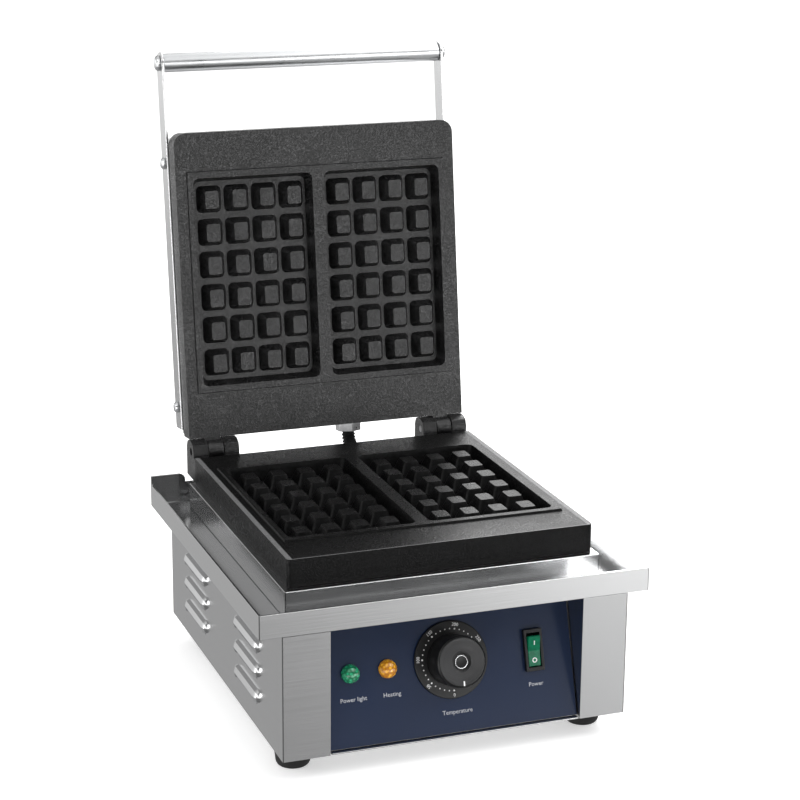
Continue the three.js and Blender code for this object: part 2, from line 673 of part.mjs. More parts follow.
// Conduit from the tray gland up to the gland in the open lid
function conduit() {
  const lidEnd = new THREE.Vector3(0, GLAND.y, GLAND.bottom - GAP)
    .applyAxisAngle(new THREE.Vector3(1, 0, 0), -LID_LEAN);
  const end = new THREE.Vector3(GLAND.x, HINGE_Y + lidEnd.y, HINGE_Z + lidEnd.z);
  const down = new THREE.Vector3(0, -Math.sin(LID_LEAN), -Math.cos(LID_LEAN));
  const start = new THREE.Vector3(GLAND.x, TRAY_GLAND.y, TRAY_GLAND.top + GAP);
  const rise = start.clone().add(new THREE.Vector3(0, 0, 24));
  const path = new THREE.CubicBezierCurve3(start, rise, end.clone().addScaledVector(down, 20), end);
  const circle = new THREE.Shape();
  circle.absarc(0, 0, CONDUIT_RADIUS, 0, 2 * Math.PI, false);
  return new THREE.ExtrudeGeometry(circle, { steps: 14, curveSegments: 6, extrudePath: path });
}

// --- lid --------------------------------------------------------------------

// The plate is made lying down like the lower one, then stood on its hinge side
function upperPlate() {
  const front = HINGE_Y - LID_TOP;
  const rear = HINGE_Y - LID_BOTTOM;
  const thickness = LID_PLATE_BACK - LID_FACE;
  const slab = wafflePlate(front, rear, thickness, UPPER_PLATE_ROUND)
    .translate(0, -HINGE_Y, 0).rotateX(-Math.PI / 2).rotateY(Math.PI).rotateX(Math.PI)
    .translate(0, LID_FACE, 0);
  const rib = box(-LID_RIB.x, LID_RIB.x, LID_PLATE_BACK - 2, LID_RIB.back,
    LID_BOTTOM + 0.5, LID_RIB.top);
  const necks = [];
  const holes = [rodZ(5.3, LID_BOTTOM - 1, LID_RIB.top + 1, GLAND.x, GLAND.y, 16)];
  for (const [, side] of SIDES) {
    const { from, to } = LID_KNUCKLE;
    necks.push(sideBox(side, from, to, LID_FACE + GAP, 15, 0, LID_BOTTOM + 1));
    necks.push(sideRod(side, BARREL_RADIUS, from, to, 0, 0));
    holes.push(sideRod(side, PIN_RADIUS + RUNNING, from - 1, to + 1, 0, 0, 20));
  }
  return cut(joined(slab, rib, ...necks), ...holes);
}

function coverShell() {
  const { x, back, bottom, top, inset } = COVER;
  const front = LID_PLATE_BACK + GAP;
  const mid = (top + bottom) / 2;
  const wide = { width: 2 * x, length: top - bottom };
  const narrow = { width: wide.width - inset, length: wide.length - inset };
  const inner = (size) => ({
    width: size.width - 2 * COVER_SHEET, length: size.length - 2 * COVER_SHEET,
  });
  const stand = (geometry, y) => geometry.rotateX(-Math.PI / 2).translate(0, y, mid);
  const shell = stand(frustum(wide, narrow, back - front), front);
  const hollow = stand(frustum(inner(wide), inner(narrow), back - front - COVER_SHEET + 1),
    front - 1);
  const tools = [hollow, rodZ(5.6, bottom - 1, bottom + 4, GLAND.x, GLAND.y, 16)];
  for (const [, side] of SIDES) {
    for (const z of ARM_SCREW_Z) {
      tools.push(sideRod(side, 2.4, x - 8, x + 5, ARM.y, z, 12));
    }
    for (const z of COVER_SCREW.z) {
      tools.push(sideRod(side, 1.5, x - 8, x + 5, COVER_SCREW.y, z, 12));
    }
  }
  return cut(shell, ...tools);
}

function arm(side) {
  const { inner, outer, y, bottom, halfWidth } = ARM;
  const shape = new THREE.Shape();
  shape.moveTo(y - halfWidth, bottom);
  shape.lineTo(y + halfWidth, bottom);
  shape.lineTo(y + halfWidth, TUBE_Z);
  shape.absarc(y, TUBE_Z, halfWidth, 0, Math.PI, false);
  const outline = shape.getPoints(8).map((point) => [point.x, point.y]);
  const bar = side < 0 ? prismX(outline, -outer, -inner) : prismX(outline, inner, outer);
  const holes = ARM_SCREW_Z.map((z) => sideRod(side, 2.4, inner - 2, outer + 2, y, z, 12));
  return cut(bar, ...holes, sideRod(side, 3.4, inner - 2, outer + 2, y, TUBE_Z, 16));
}

// Domed screw along x: the head outside, the shank pointing inwards
function domedScrew(side, headRadius, headHeight, shankRadius, shankLength) {
  const profile = [
    [0, -shankLength], [shankRadius, -shankLength], [shankRadius, 0], [headRadius, 0],
    [headRadius, headHeight * 0.35], [headRadius * 0.75, headHeight * 0.8], [0, headHeight],
  ];
  return turned(profile, 12).rotateY(side * Math.PI / 2);
}

function handle(group) {
  const tube = ring(TUBE_RADIUS, TUBE_RADIUS - 1.5, -ARM.inner + GAP, ARM.inner - GAP, 28);
  add(group, 'handle_tube', tube.rotateY(Math.PI / 2), BRIGHT, [0, ARM.y, TUBE_Z]);
  for (const [name, side] of SIDES) {
    const face = side * (ARM.outer + GAP);
    add(group, `handle_arm_${name}`, arm(side), BRIGHT);
    add(group, `handle_bolt_${name}`, domedScrew(side, 6.4, 4, 3, 16), BRIGHT,
      [face, ARM.y, TUBE_Z]);
    ['lower', 'upper'].forEach((level, i) => {
      const z = ARM_SCREW_Z[i];
      const spacer = ring(5, 2.4, COVER.x + GAP, ARM.inner - GAP, 12);
      add(group, `arm_screw_${name}_${level}`, domedScrew(side, 4.8, 3.4, 2, 11), BRIGHT,
        [face, ARM.y, z]);
      add(group, `arm_spacer_${name}_${level}`, spacer.rotateY(side * Math.PI / 2), STEEL,
        [0, ARM.y, z]);
    });
  }
}

function lid(group) {
  add(group, 'upper_plate', upperPlate(), IRON);
  add(group, 'lid_cover', coverShell(), STEEL);
  const rod = heatingRod(-86, 86, 0).rotateX(Math.PI / 2);
  add(group, 'upper_heating_rod', rod, GREY, [0, LID_PLATE_BACK + 5, 138]);
  const wool = box(-108, 108, LID_PLATE_BACK + 10, COVER.back - 4, 34, 248);
  add(group, 'upper_insulation', wool, WOOL);
  handle(group);
  for (const [name, side] of SIDES) {
    ['lower', 'upper'].forEach((level, i) => {
      add(group, `cover_screw_${name}_${level}`,
        domedScrew(side, COVER_SCREW.radius, 1.8, 1.2, 5), BRIGHT,
        [side * (COVER.x + GAP), COVER_SCREW.y, COVER_SCREW.z[i]]);
    });
  }
  const gland = hexGland(GLAND.radius, 5, [GLAND.bottom, GLAND.top],
    [GLAND.top - 1, LID_RIB.top + 6]);
  add(group, 'conduit_lid_gland', gland, BRIGHT, [GLAND.x, GLAND.y, 0]);
}

// --- assembly ---------------------------------------------------------------

const waffleMaker = new THREE.Group();
const base = new THREE.Group();
base.position.set(0, TRAY_MIDDLE_Y, FOOT_HEIGHT);
waffleMaker.add(base);
body(base);
trayAndPlate(base);
add(base, 'lid_conduit', conduit(), RUBBER);

const panelFrame = new THREE.Group();
panelFrame.position.y = PANEL_Y;
panelFrame.rotation.x = -PANEL_TILT;
base.add(panelFrame);
controls(panelFrame);

const lidFrame = new THREE.Group();
lidFrame.position.set(0, HINGE_Y, HINGE_Z);
lidFrame.rotation.x = -LID_LEAN;
base.add(lidFrame);
lid(lidFrame);

export default waffleMaker;
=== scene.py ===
"""Looks of a counter-top waffle maker: cast double plates, stainless body, dark blue panel."""
import math

import bmesh
import bpy
from mathutils import Matrix, Vector


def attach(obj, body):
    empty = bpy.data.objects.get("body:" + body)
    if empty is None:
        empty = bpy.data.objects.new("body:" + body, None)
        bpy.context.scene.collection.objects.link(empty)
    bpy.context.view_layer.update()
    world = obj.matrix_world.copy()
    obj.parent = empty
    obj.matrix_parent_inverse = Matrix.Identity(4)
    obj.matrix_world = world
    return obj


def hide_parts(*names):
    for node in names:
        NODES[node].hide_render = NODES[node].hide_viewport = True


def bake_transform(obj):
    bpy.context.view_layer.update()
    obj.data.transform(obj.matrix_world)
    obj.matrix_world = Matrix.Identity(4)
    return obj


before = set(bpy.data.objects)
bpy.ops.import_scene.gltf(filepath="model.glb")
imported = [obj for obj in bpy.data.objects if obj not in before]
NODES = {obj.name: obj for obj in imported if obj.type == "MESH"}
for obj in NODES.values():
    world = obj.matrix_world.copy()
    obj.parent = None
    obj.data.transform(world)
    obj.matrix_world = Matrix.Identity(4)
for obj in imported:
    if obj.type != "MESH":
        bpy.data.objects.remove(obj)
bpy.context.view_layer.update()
MM = 0.001

# Frames of the real object, in millimetres, as the CAD part places them
TRAY_MIDDLE_Y = -29.7
FOOT_HEIGHT = 18
PANEL_Y = -149.3
PANEL_TILT = math.radians(17.2)
HINGE_Y = 142
HINGE_Z = 141.3
LID_LEAN = math.radians(7.8)

# Dial and knob: place on the panel, sizes, and heights above the panel's face
DIAL_X, DIAL_Z = 1, 55.5
DIAL_RADIUS = 28.5
DIAL_BORE = 4
DIAL_BACK = 0.3
DIAL_FACE = 2.3
DIAL_NUMBERS = range(0, 301, 50)
DIAL_SWEEP = math.radians(288)
DOTS_PER_NUMBER = 5
DOT_CIRCLE = 22.6
LARGE_DOT, SMALL_DOT, DOT_HEIGHT = 0.7, 0.5, 0.1
NUMBER_CIRCLE = 25.7
NUMBER_SIZE = 3.4
PRINT_HEIGHT = 0.06
KNOB_BORE = 3.4
KNOB_BASE = 2.6
KNOB_TOP = 25.0
KNOB_RADIUS = 19.0
KNOB_CAP_RADIUS = 17.4
KNOB_DISH = 7.4
KNOB_RING = (4.3, 4.9)
POINTER = (1.1, 3.6, 0.6)
POINTER_INSET = 3.4

# Lamps, rocker switch and their captions
LAMP_X = {"power": -76.5, "heating": -48}
LAMP_Z = 55
LAMP_FACETS = 12
LAMP_ROWS = ((6.2, 0.3), (7.0, 0.6), (7.0, 1.6), (6.3, 3.8), (4.6, 5.6), (2.2, 6.45))
LAMP_TIP = 6.6
SWITCH_X, SWITCH_Z = 66, 54.5
ROCKER_PIVOT_Y = 0.5
ROCKER_TILT = math.radians(10)
ROCKER_SLOPE = math.atan2(1.3, 10.5)
ROCKER_BAR = (0.7, 3.4, 0.16)
BAR_PLACE = (0, -4.9, 6.4)
ROCKER_RING = (1.2, 1.9)
RING_PLACE = (0, -4.95, -6.8)
CAPTION_SIZE = 4.4
CAPTIONS = (("power_lamp", "Power light", LAMP_X["power"] + 1, LAMP_Z - 19),
            ("heating_lamp", "Heating", LAMP_X["heating"] + 2, LAMP_Z - 19),
            ("dial", "Temperature", DIAL_X + 2, DIAL_Z - 38.5),
            ("switch", "Power", SWITCH_X + 0.5, SWITCH_Z - 25.5))

# Handle tube, feet and flexible conduit
ARM_Y = 28.7
TUBE_Z = 312
TUBE_RADIUS = 7.5
TUBE_BORE = 6.0
TUBE_END = 117.8
FOOT_RADIUS = 14.5
FOOT_TIP_RADIUS = 12.5
FOOT_BORE = 2.7
FOOT_WELL = 5.0
FOOT_TOP = 0.2
FRONT_FOOT = (115, -118)
REAR_FOOT = (108, 118)
CONDUIT_START = (24.3, 143, 104.3)
CONDUIT_END_IN_LID = (24.3, 24, 0.7)
CONDUIT_RISE = 24
CONDUIT_DROP = 20
CONDUIT_RADIUS = 5.3
CONDUIT_RIB = 0.5
RIB_PITCH = 2.6

# Groups of CAD nodes that share a look
SIDES = ("left", "right")
PAIRS = [f"{side}_{level}" for side in SIDES for level in ("lower", "upper")]
CORNERS = [f"{end}_{side}" for end in ("front", "rear") for side in SIDES]
BODY_NODES = ["left_side_panel", "right_side_panel", "back_panel", "bottom_plate", "front_rail"]
BRACKETS = [f"hinge_bracket_{side}" for side in SIDES]
ARMS = [f"handle_arm_{side}" for side in SIDES]
HANDLE_BOLTS = [f"handle_bolt_{side}" for side in SIDES]
LID_SCREWS = [f"{kind}_{pair}" for kind in ("arm_screw", "cover_screw") for pair in PAIRS]
ARM_SPACERS = [f"arm_spacer_{pair}" for pair in PAIRS]
FOOT_SCREWS = [f"foot_screw_{corner}" for corner in CORNERS]
GLANDS = ["conduit_tray_gland", "conduit_lid_gland"]
PINS = ["hinge_pin_left", "hinge_pin_right", "thermostat_spindle"]
PADS = ["lower_insulation", "upper_insulation"]

# Upright folded corners: half width, half depth, and the middle's y in the row frame
BODY_CORNER = (133.25, 152.5, TRAY_MIDDLE_Y)
TRAY_CORNER = (150, 152.5, TRAY_MIDDLE_Y)
BOX_CORNER = (122.3, 129.5, TRAY_MIDDLE_Y + 4.9)
SEAM_DARK, SEAM_CLEAR = 0.4, 0.9

# Where the lower plate's side and front rims start to carry a painted highlight, and its pale grey
LOWER_RIMS = (114.5, 147.4)
RIM_FADE = 0.6
RIM_HIGHLIGHT_GREY = (0.22, 0.22, 0.223)

# Base colours of the main materials
# The body's steel is darker than the tray's: partly a darker sheet, and partly painted shade on the
# body standing under the tray's overhanging skirt.
BODY_STEEL = (0.66, 0.663, 0.667)
TRAY_STEEL = (0.80, 0.803, 0.807)
CAST_IRON = (0.004, 0.004, 0.0041)
NAVY = (0.0080, 0.0166, 0.044)
BLACK = (0.006, 0.006, 0.0063)
WHITE = (0.72, 0.72, 0.70)

# Features per metre of a moulding's grain and of printed ink's
MOULDED_GRAIN = 1600
INK_GRAIN = 3000

# Camera: where it stands (metres), where it looks, and its lens
CAMERA_PLACE = (-0.56998, -1.59825, 0.7212)
CAMERA_AZIMUTH = math.radians(-20.27)
CAMERA_ELEVATION = math.radians(16.35)
CAMERA_ROLL = math.radians(0.48)
LENS = 102.6
SENSOR_WIDTH = 36

# Studio surround: greys by the sine of the height angle, towards the user and behind the
# object, and how strongly they count from the far left to the far right
SURROUND_FRONT = ((-1, 0.08), (-0.45, 0.1), (-0.28, 0.17), (-0.2, 0.26), (-0.1, 0.9),
                  (0, 1.0), (0.08, 0.7), (0.16, 0.03), (0.42, 0.03), (0.6, 0.4), (1, 0.32))
SURROUND_BACK = ((-1, 0.15), (-0.24, 0.2), (-0.1, 0.5), (0.06, 0.5), (0.17, 0.15), (0.5, 0.15),
                 (0.8, 0.4), (1, 0.32))
SURROUND_ACROSS = ((-1, 0.15), (-0.96, 0.2), (-0.91, 1.0), (-0.83, 1.0), (-0.72, 0.28),
                   (0.2, 0.28), (0.33, 0.5), (0.42, 1.0), (0.46, 1.0), (0.54, 0.3), (1, 0.3))
SURROUND_STRENGTH = 8.0
SURROUND_BLEND = 0.3

# Soft boxes: where each stands (metres), where it points, its size and its watts
SOFTBOXES = {"key": ((2.0, -1.1, 1.8), (0, 0, 0.2), (1.2, 1.0), 18),
             "rim": ((1.0, 1.5, 1.3), (0, 0, 0.15), (1.0, 1.0), 17),
             "fill": ((-1.9, -0.9, 1.5), (0, 0, 0.2), (1.0, 1.0), 6)}
FLOOR_HALF = 30

# Sockets of a Mix node for colours and for single values; their names alone don't tell them apart
MIX_A, MIX_B, MIX_RESULT = 6, 7, 2
VALUE_A, VALUE_B, VALUE_RESULT = 2, 3, 0


def base_frame():
    """Matrix from the base's own millimetres to the row frame in metres."""
    return Matrix.Scale(MM, 4) @ Matrix.Translation((0, TRAY_MIDDLE_Y, FOOT_HEIGHT))


def panel_frame():
    """Frame at the foot of the tilted panel: -Y points out of it at the user."""
    place = Matrix.Translation((0, PANEL_Y, 0)) @ Matrix.Rotation(-PANEL_TILT, 4, "X")
    return base_frame() @ place


def lid_frame():
    """Frame on the hinge line, with Z running up the open lid."""
    place = Matrix.Translation((0, HINGE_Y, HINGE_Z)) @ Matrix.Rotation(-LID_LEAN, 4, "X")
    return base_frame() @ place


# --- materials --------------------------------------------------------------

class Finish:
    """One procedural material, with short calls that add nodes and join them."""

    def __init__(self, name, colour, roughness, metallic=0.0):
        self.material = bpy.data.materials.new(name)
        self.material.use_nodes = True
        self.tree = self.material.node_tree
        self.shader = self.tree.nodes["Principled BSDF"]
        self.place = self.node("ShaderNodeTexCoord")
        self.normal = None
        self.set("Base Color", (*colour, 1))
        self.set("Roughness", roughness)
        self.set("Metallic", metallic)

    def node(self, kind, **settings):
        made = self.tree.nodes.new(kind)
        for key, value in settings.items():
            setattr(made, key, value)
        return made

    def join(self, output, socket):
        self.tree.links.new(output, socket)

    def set(self, socket, value):
        self.shader.inputs[socket].default_value = value

    def feed(self, output, socket):
        self.join(output, self.shader.inputs[socket])

    def grain(self, scale, detail=3.0, rough=0.55, stretch=(1, 1, 1)):
        """Noise in object space; scale is features per metre, stretch divides it per axis."""
        mapping = self.node("ShaderNodeMapping")
        mapping.inputs["Scale"].default_value = [scale / s for s in stretch]
        self.join(self.place.outputs["Object"], mapping.inputs["Vector"])
        noise = self.node("ShaderNodeTexNoise")
        noise.inputs["Scale"].default_value = 1.0
        noise.inputs["Detail"].default_value = detail
        noise.inputs["Roughness"].default_value = rough
        self.join(mapping.outputs["Vector"], noise.inputs["Vector"])
        return noise.outputs["Fac"]

    def cells(self, scale):
        """Distance from the middles of small cells, in object space."""
        voronoi = self.node("ShaderNodeTexVoronoi")
        voronoi.inputs["Scale"].default_value = scale
        self.join(self.place.outputs["Object"], voronoi.inputs["Vector"])
        return voronoi.outputs["Distance"]

    def range(self, source, low, high, start, end):
        """source from low..high stretched onto start..end, and held there."""
        mapped = self.node("ShaderNodeMapRange")
        for socket, value in zip(("From Min", "From Max", "To Min", "To Max"),
                                 (low, high, start, end)):
            mapped.inputs[socket].default_value = value
        self.join(source, mapped.inputs["Value"])
        return mapped.outputs["Result"]

    def sum(self, a, b, operation="ADD"):
        """Sum of two outputs, or what another maths operation makes of them."""
        made = self.node("ShaderNodeMath", operation=operation)
        self.join(a, made.inputs[0])
        self.join(b, made.inputs[1])
        return made.outputs["Value"]

    def mix(self, factor, a, b):
        """Colour between a and b; each is an RGB triple or another colour output."""
        made = self.node("ShaderNodeMix", data_type="RGBA")
        self.join(factor, made.inputs["Factor"])
        for source, socket in ((a, made.inputs[MIX_A]), (b, made.inputs[MIX_B])):
            if isinstance(source, tuple):
                socket.default_value = (*source, 1)
            else:
                self.join(source, socket)
        return made.outputs[MIX_RESULT]

    def bump(self, height, strength, distance):
        """Relief from a height output, on top of the relief made so far."""
        made = self.node("ShaderNodeBump")
        made.inputs["Strength"].default_value = strength
        made.inputs["Distance"].default_value = distance
        self.join(height, made.inputs["Height"])
        if self.normal is not None:
            self.join(self.normal, made.inputs["Normal"])
        self.normal = made.outputs["Normal"]
        self.feed(self.normal, "Normal")

    def seams(self, x, y, middle_y):
        """0 in the thin dark joints at a folded box's four upright corners, 1 elsewhere."""
        centred = self.node("ShaderNodeMapping")
        centred.inputs["Location"].default_value = (0, -middle_y * MM, 0)
        self.join(self.place.outputs["Object"], centred.inputs["Vector"])
        mirrored = self.node("ShaderNodeVectorMath", operation="ABSOLUTE")
        self.join(centred.outputs["Vector"], mirrored.inputs[0])
        corner = self.node("ShaderNodeMapping")
        corner.inputs["Location"].default_value = (-x * MM, -y * MM, 0)
        corner.inputs["Scale"].default_value = (1, 1, 0)
        self.join(mirrored.outputs["Vector"], corner.inputs["Vector"])
        away = self.node("ShaderNodeVectorMath", operation="LENGTH")
        self.join(corner.outputs["Vector"], away.inputs[0])
        return self.range(away.outputs["Value"], SEAM_DARK * MM, SEAM_CLEAR * MM, 0, 1)

    def away_from_middle(self, source, axis):
        """How far a vector output reaches along one axis, either way."""
        split = self.node("ShaderNodeSeparateXYZ")
        self.join(self.place.outputs[source], split.inputs["Vector"])
        size = self.node("ShaderNodeMath", operation="ABSOLUTE")
        self.join(split.outputs[axis], size.inputs[0])
        return size.outputs["Value"]

    def faces(self, axis):
        """1 on faces that look along the axis, 0 on the others."""
        return self.range(self.away_from_middle("Normal", axis), 0.6, 0.8, 0, 1)


def shaded(colour, factor):
    """The colour, darker or lighter by a factor."""
    return tuple(channel * factor for channel in colour)


def brushed_sheet(name, colour, roughness, corner):
    """Folded stainless sheet, brushed along its length on every face, a little handled."""
    finish = Finish(name, colour, roughness, 1.0)
    along_x = finish.grain(1500, 4, 0.7, stretch=(160, 1, 1))
    along_y = finish.grain(1500, 4, 0.7, stretch=(1, 160, 1))
    pick = finish.node("ShaderNodeMix", data_type="FLOAT")
    finish.join(finish.faces("X"), pick.inputs["Factor"])
    finish.join(along_x, pick.inputs[VALUE_A])
    finish.join(along_y, pick.inputs[VALUE_B])
    lines = pick.outputs[VALUE_RESULT]
    handled = finish.grain(14, 3, 0.6)
    streaked = finish.range(lines, 0.3, 0.7, roughness - 0.02, roughness + 0.04)
    marks = finish.range(handled, 0.45, 0.75, 0, 0.04)
    finish.feed(finish.sum(streaked, marks), "Roughness")
    sheet = finish.mix(finish.range(lines, 0.3, 0.7, 0, 1), shaded(colour, 0.93), colour)
    finish.feed(finish.mix(finish.seams(*corner), shaded(colour, 0.2), sheet), "Base Color")
    finish.bump(lines, 0.03, 0.0001)
    return finish.material


def polished_steel(name, colour, roughness):
    """Bright steel with faint lengthwise polishing lines and small scuffs."""
    finish = Finish(name, colour, roughness, 1.0)
    lines = finish.grain(2200, 3, 0.6, stretch=(60, 1, 60))
    scuffs = finish.range(finish.grain(320, 5, 0.7), 0.62, 0.8, 0, 0.16)
    streaked = finish.range(lines, 0.3, 0.7, roughness * 0.8, roughness * 1.25)
    finish.feed(finish.sum(streaked, scuffs), "Roughness")
    tone = finish.range(finish.grain(40, 2), 0.3, 0.7, 0, 1)
    finish.feed(finish.mix(tone, shaded(colour, 0.96), colour), "Base Color")
    finish.bump(lines, 0.05, 0.0001)
    return finish.material


def cast_iron(name, level, speckled, rims=None):
    """Dark seasoned casting with a sandy skin, with a painted highlight on its top beyond the rims.
    """
    colour = CAST_IRON
    finish = Finish(name, colour, 0.3)
    sand = finish.grain(680, 3, 0.7)
    skin = finish.cells(1500)
    patches = finish.grain(38, 4, 0.6)
    speckle = finish.range(sand, 0.48, 0.62, 0, 1)
    pale = finish.mix(speckle, shaded(colour, 0.2), shaded(colour, speckled))
    skin_tone = finish.mix(finish.range(patches, 0.4, 0.7, 0, 0.4), pale, shaded(colour, 0.8))
    # Painted highlight: the top beyond the rims is painted pale grey, broken by the sand, standing
    # in for light caught along the edges.
    if rims:
        sides, front = [finish.range(finish.away_from_middle("Object", axis),
                                     start * MM, (start + RIM_FADE) * MM, 0, 1)
                        for axis, start in zip("XY", rims)]
        on_top = finish.sum(finish.sum(sides, front, "MAXIMUM"), finish.faces("Z"), "MULTIPLY")
        rim_highlight = finish.sum(on_top, finish.range(sand, 0.3, 0.6, 0.4, 1), "MULTIPLY")
        skin_tone = finish.mix(rim_highlight, skin_tone, RIM_HIGHLIGHT_GREY)
    finish.feed(skin_tone, "Base Color")
    gloss = finish.range(patches, 0.35, 0.7, 0.26, 0.34)
    finish.feed(finish.sum(gloss, finish.range(sand, 0.35, 0.65, 0.10, -0.06)), "Roughness")
    finish.set("Specular IOR Level", level)
    finish.bump(sand, 0.7, 0.0004)
    finish.bump(skin, 0.3, 0.0001)
    return finish.material


def panel_paint():
    """Dark blue powder coat with a fine orange-peel skin."""
    colour = NAVY
    finish = Finish("panel_powder_coat", colour, 0.24)
    finish.set("Specular IOR Level", 0.22)
    peel = finish.grain(900, 2, 0.5)
    dust = finish.grain(2600, 5, 0.7)
    finish.feed(finish.mix(finish.range(dust, 0.4, 0.7, 0, 1), colour, shaded(colour, 1.18)),
                "Base Color")
    finish.feed(finish.range(finish.grain(25, 3), 0.35, 0.7, 0.20, 0.28), "Roughness")
    finish.bump(peel, 0.10, 0.0002)
    return finish.material


def moulded_plastic(name, colour, roughness, grain_scale=MOULDED_GRAIN):
    """Opaque plastic with a fine moulded grain; also used for printed ink."""
    finish = Finish(name, colour, roughness)
    finish.set("Specular IOR Level", 0.35)
    grain = finish.grain(grain_scale, 4, 0.65)
    finish.feed(finish.range(grain, 0.35, 0.7, roughness - 0.06, roughness + 0.1), "Roughness")
    finish.feed(finish.mix(finish.range(finish.grain(60, 3), 0.3, 0.7, 0, 1),
                           shaded(colour, 0.85), shaded(colour, 1.15)), "Base Color")
    finish.bump(grain, 0.16, 0.0002)
    return finish.material


def rubber(name, colour):
    """Matt rubber with fine pores and a little dust."""
    finish = Finish(name, colour, 0.75)
    pores = finish.grain(2200, 5, 0.7)
    dust = finish.grain(90, 4, 0.6)
    finish.feed(finish.mix(finish.range(dust, 0.5, 0.8, 0, 0.6), colour,
                           shaded(colour, 2.2)), "Base Color")
    finish.feed(finish.range(pores, 0.3, 0.7, 0.62, 0.86), "Roughness")
    finish.bump(pores, 0.3, 0.0002)
    return finish.material


def lens(name, dark, bright):
    """Translucent moulding whose small inner prisms catch the light."""
    finish = Finish(name, dark, 0.12)
    prisms = finish.cells(420)
    finish.feed(finish.mix(finish.range(prisms, 0.1, 0.6, 1, 0), dark, bright), "Base Color")
    finish.feed(finish.range(finish.grain(500, 3), 0.3, 0.7, 0.08, 0.2), "Roughness")
    finish.set("Coat Weight", 0.8)
    finish.set("Coat Roughness", 0.06)
    finish.set("Emission Color", (*bright, 1))
    finish.set("Emission Strength", 0.12)
    finish.bump(prisms, 0.15, 0.0004)
    return finish.material


def clear_green():
    """Glossy translucent green moulding, a little cloudy inside."""
    colour = (0.0008, 0.10, 0.047)
    finish = Finish("rocker_green", colour, 0.2)
    finish.set("Specular IOR Level", 0.12)
    cloud = finish.grain(260, 4, 0.6)
    finish.feed(finish.mix(finish.range(cloud, 0.35, 0.7, 0, 1), shaded(colour, 0.8),
                           shaded(colour, 1.35)), "Base Color")
    finish.feed(finish.range(finish.grain(900, 3), 0.3, 0.7, 0.14, 0.26), "Roughness")
    finish.set("Coat Weight", 0.05)
    finish.set("Coat Roughness", 0.08)
    # Emission: a faint painted glow, standing in for light passing through the translucent
    # moulding.
    finish.set("Emission Color", (*colour, 1))
    finish.set("Emission Strength", 0.2)
    finish.bump(cloud, 0.05, 0.0002)
    return finish.material


def wool():
    """Pale mineral wool, its fibres lying flat."""
    colour = (0.42, 0.39, 0.32)
    finish = Finish("mineral_wool_pad", colour, 0.95)
    fibres = finish.grain(900, 8, 0.8, stretch=(6, 2, 1))
    finish.feed(finish.mix(finish.range(fibres, 0.35, 0.7, 0, 1), shaded(colour, 0.6),
                           shaded(colour, 1.2)), "Base Color")
    finish.bump(fibres, 0.8, 0.001)
    return finish.material


def dull_steel(name, colour, roughness):
    """Plain plated or oxidised steel with a mottled skin."""
    finish = Finish(name, colour, roughness, 1.0)
    mottle = finish.grain(260, 5, 0.65)
    finish.feed(finish.mix(finish.range(mottle, 0.35, 0.7, 0, 1), shaded(colour, 0.75), colour),
                "Base Color")
    finish.feed(finish.range(mottle, 0.3, 0.7, roughness + 0.1, roughness - 0.05), "Roughness")
    finish.bump(mottle, 0.15, 0.0002)
    return finish.material


def brushed_knob():
    """Black cap with fine rings around the knob's own axis and a highlight drawn out sideways."""
    colour = (0.06, 0.06, 0.0612)
    finish = Finish("knob_brushed_cap", colour, 0.36, 0.85)
    centre = panel_frame() @ Vector((DIAL_X, 0, DIAL_Z))
    shift = finish.node("ShaderNodeMapping")
    shift.inputs["Location"].default_value = -centre
    finish.join(finish.place.outputs["Object"], shift.inputs["Vector"])
    turn = finish.node("ShaderNodeMapping")
    turn.inputs["Rotation"].default_value = (PANEL_TILT, 0, 0)
    finish.join(shift.outputs["Vector"], turn.inputs["Vector"])
    flatten = finish.node("ShaderNodeMapping")
    flatten.inputs["Scale"].default_value = (1, 0, 1)
    finish.join(turn.outputs["Vector"], flatten.inputs["Vector"])
    radius = finish.node("ShaderNodeVectorMath", operation="LENGTH")
    finish.join(flatten.outputs["Vector"], radius.inputs[0])
    fine = finish.node("ShaderNodeTexNoise", noise_dimensions="1D")
    fine.inputs["Scale"].default_value = 5200
    fine.inputs["Detail"].default_value = 3
    finish.join(radius.outputs["Value"], fine.inputs["W"])
    rings = fine.outputs["Fac"]
    finish.feed(finish.range(rings, 0.3, 0.7, 0.28, 0.46), "Roughness")
    finish.feed(finish.mix(finish.range(rings, 0.3, 0.7, 0, 1), shaded(colour, 0.6),
                           shaded(colour, 1.5)), "Base Color")
    finish.bump(rings, 0.8, 0.0003)
    sideways = finish.node("ShaderNodeTangent", direction_type="RADIAL", axis="Y")
    finish.feed(sideways.outputs["Tangent"], "Tangent")
    finish.set("Anisotropic", 0.7)
    return finish.material


def paint_nodes(names, material):
    """Give CAD nodes one material in place of their own."""
    for name in names:
        mesh = NODES[name].data
        mesh.materials.clear()
        mesh.materials.append(material)


# --- shapes -----------------------------------------------------------------

def soften(names, width, segments=2, angle=28):
    """Small rounded edges on CAD nodes, by modifiers that leave their meshes alone."""
    for name in names:
        node = NODES[name]
        node.data.shade_smooth()
        weld = node.modifiers.new("weld", "WELD")
        weld.merge_threshold = 0.00001
        flat = node.modifiers.new("flat", "DECIMATE")
        flat.decimate_type = "DISSOLVE"
        flat.angle_limit = math.radians(0.5)
        edges = node.modifiers.new("edges", "BEVEL")
        edges.width = width * MM
        edges.segments = segments
        edges.limit_method = "ANGLE"
        edges.angle_limit = math.radians(angle)
        normals = node.modifiers.new("normals", "WEIGHTED_NORMAL")
        normals.weight = 100
        normals.keep_sharp = True


